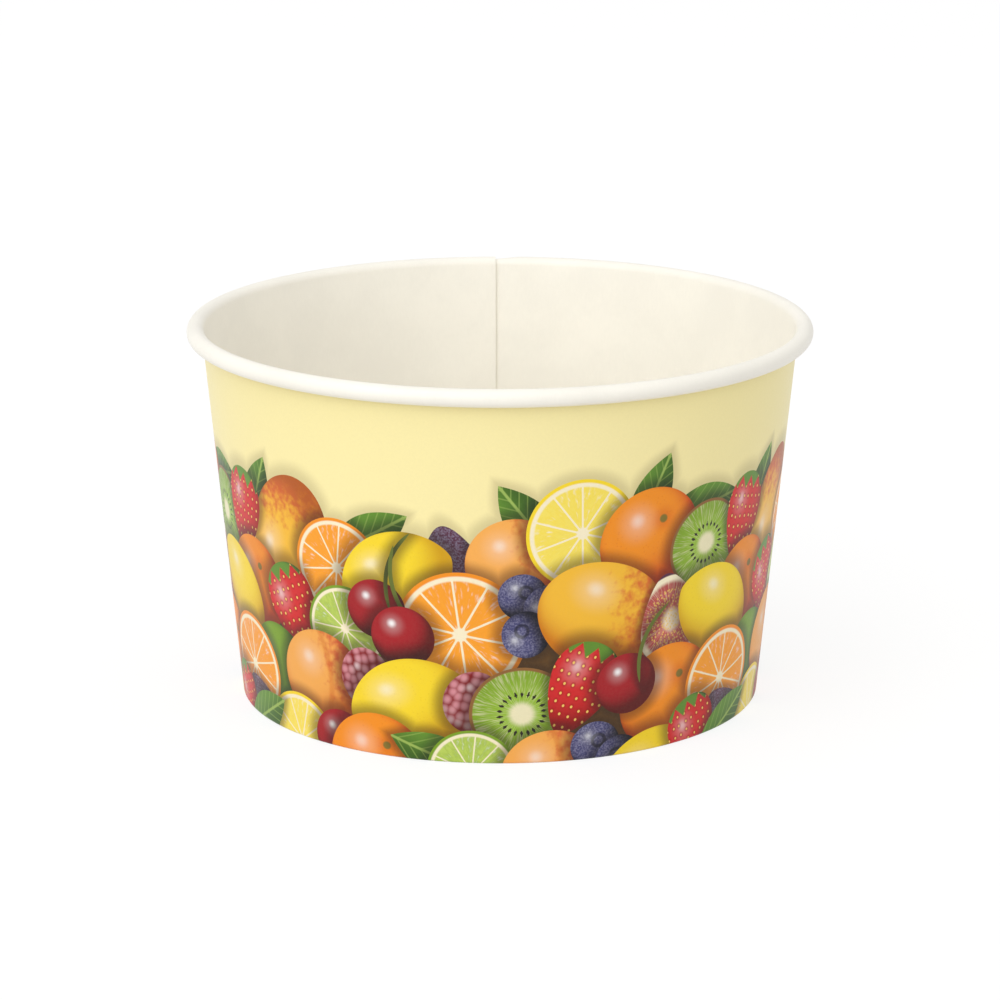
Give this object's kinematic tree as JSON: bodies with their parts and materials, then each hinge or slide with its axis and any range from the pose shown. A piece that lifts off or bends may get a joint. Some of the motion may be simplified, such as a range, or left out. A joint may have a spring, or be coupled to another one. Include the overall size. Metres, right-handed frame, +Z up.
{
  "type": "paper ice cream cup",
  "caption": "Tapered board ice cream cup with a rolled rim, a lapped side seam and a recessed base disc sealed in a folded hem.",
  "frame": {"origin": "middle of the base ring, on the surface that the cup stands on", "axes": "+Z up along the cup's axis, with the lapped side seam towards +Y"},
  "size_m": [0.096, 0.096, 0.0585],
  "materials": {
    "printed_board": "coated, satin, printed outside",
    "plain_board": "coated, satin"
  },
  "bodies": {
    "root": {"side_wall": "printed_board", "base_disc": "plain_board"}
  },
  "joints": []
}
